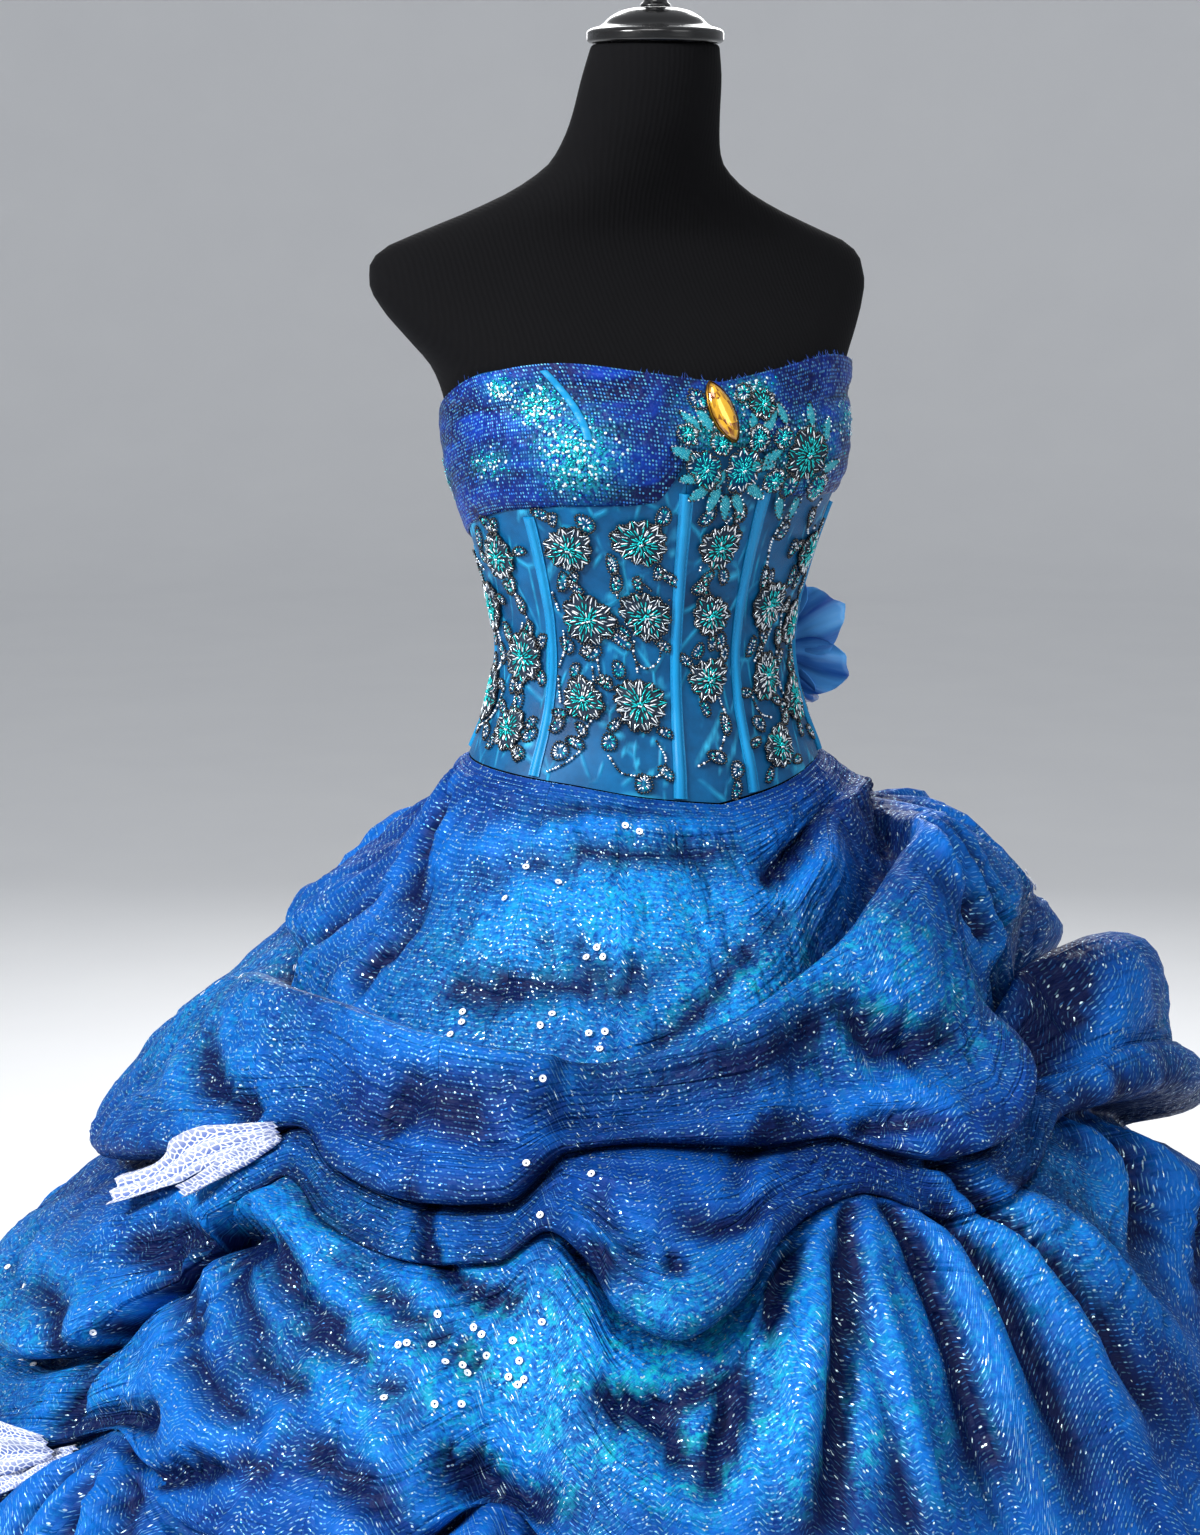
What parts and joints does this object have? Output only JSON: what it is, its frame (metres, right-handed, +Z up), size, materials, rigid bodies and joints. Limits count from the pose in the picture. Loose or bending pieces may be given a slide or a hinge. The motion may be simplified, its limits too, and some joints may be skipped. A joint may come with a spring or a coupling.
{
  "type": "ball gown on dress form",
  "caption": "Strapless boned ball gown with beaded bodice, sequinned bust drape and full pick-up skirt, on a limbless dress form with a pole and round base.",
  "frame": {"origin": "centre of the underside of the stand's round base, on the floor", "axes": "+Z up, the gown faces -Y, +X towards the wearer's left"},
  "size_m": [1.429, 1.4292, 1.6013],
  "materials": {
    "black_jersey": "matt stretch jersey",
    "black_gloss": "glossy lacquer",
    "dark_steel": "black powder coat",
    "turquoise_satin": "satin under sheer mesh",
    "royal_sequin_mesh": "gathered mesh with small sequins",
    "turquoise_channel": "satin binding",
    "silver_beadwork": "silver, black and teal glass beads",
    "teal_beadwork": "teal beads and glitter",
    "amber_stone": "faceted, clear amber",
    "royal_sparkle_mesh": "thin mesh with rows of bright dots",
    "white_net": "ribbed net ribbon",
    "blue_satin": "satin"
  },
  "bodies": {
    "root": {"amber_stone": "amber_stone", "bead_flower_01": "silver_beadwork", "bead_flower_02": "silver_beadwork", "bead_flower_03": "silver_beadwork", "bead_flower_04": "silver_beadwork", "bead_flower_05": "silver_beadwork", "bead_flower_06": "silver_beadwork", "bead_flower_07": "silver_beadwork", "bead_flower_08": "silver_beadwork", "bead_flower_09": "silver_beadwork", "bead_flower_10": "silver_beadwork", "bead_flower_11": "silver_beadwork", "bead_flower_12": "silver_beadwork", "bead_flower_13": "silver_beadwork", "bead_flower_14": "silver_beadwork", "bead_flower_15": "silver_beadwork", "bead_flower_16": "silver_beadwork", "bead_flower_17": "silver_beadwork", "bead_flower_18": "silver_beadwork", "bead_flower_19": "silver_beadwork", "bead_flower_20": "silver_beadwork", "bead_flower_21": "silver_beadwork", "bead_flower_22": "silver_beadwork", "bead_flower_23": "silver_beadwork", "bead_flower_24": "silver_beadwork", "bead_flower_25": "silver_beadwork", "bead_flower_26": "silver_beadwork", "bodice_back_left": "turquoise_satin", "bodice_back_right": "turquoise_satin", "bodice_front": "turquoise_satin", "bodice_placket": "turquoise_satin", "bodice_side_back_left": "turquoise_satin", "bodice_side_back_right": "turquoise_satin", "bodice_side_front_left": "turquoise_satin", "bodice_side_front_right": "turquoise_satin", "bone_back_left": "turquoise_channel", "bone_back_right": "turquoise_channel", "bone_front_left": "turquoise_channel", "bone_front_right": "turquoise_channel", "bone_side_left": "turquoise_channel", "bone_side_right": "turquoise_channel", "bust_drape_left": "royal_sequin_mesh", "bust_drape_right": "royal_sequin_mesh", "bust_flower_01": "teal_beadwork", "bust_flower_02": "teal_beadwork", "finial": "black_gloss", "form_torso": "black_jersey", "neck_cap": "black_gloss", "ribbon_tie_low": "white_net", "ribbon_tie_side": "white_net", "rosette_heart": "blue_satin", "rosette_petals": "blue_satin", "skirt_back_left": "royal_sparkle_mesh", "skirt_back_right": "royal_sparkle_mesh", "skirt_front": "royal_sparkle_mesh", "skirt_side_left": "royal_sparkle_mesh", "skirt_side_right": "royal_sparkle_mesh", "stand_base": "black_gloss", "stand_pole": "dark_steel"}
  },
  "joints": []
}
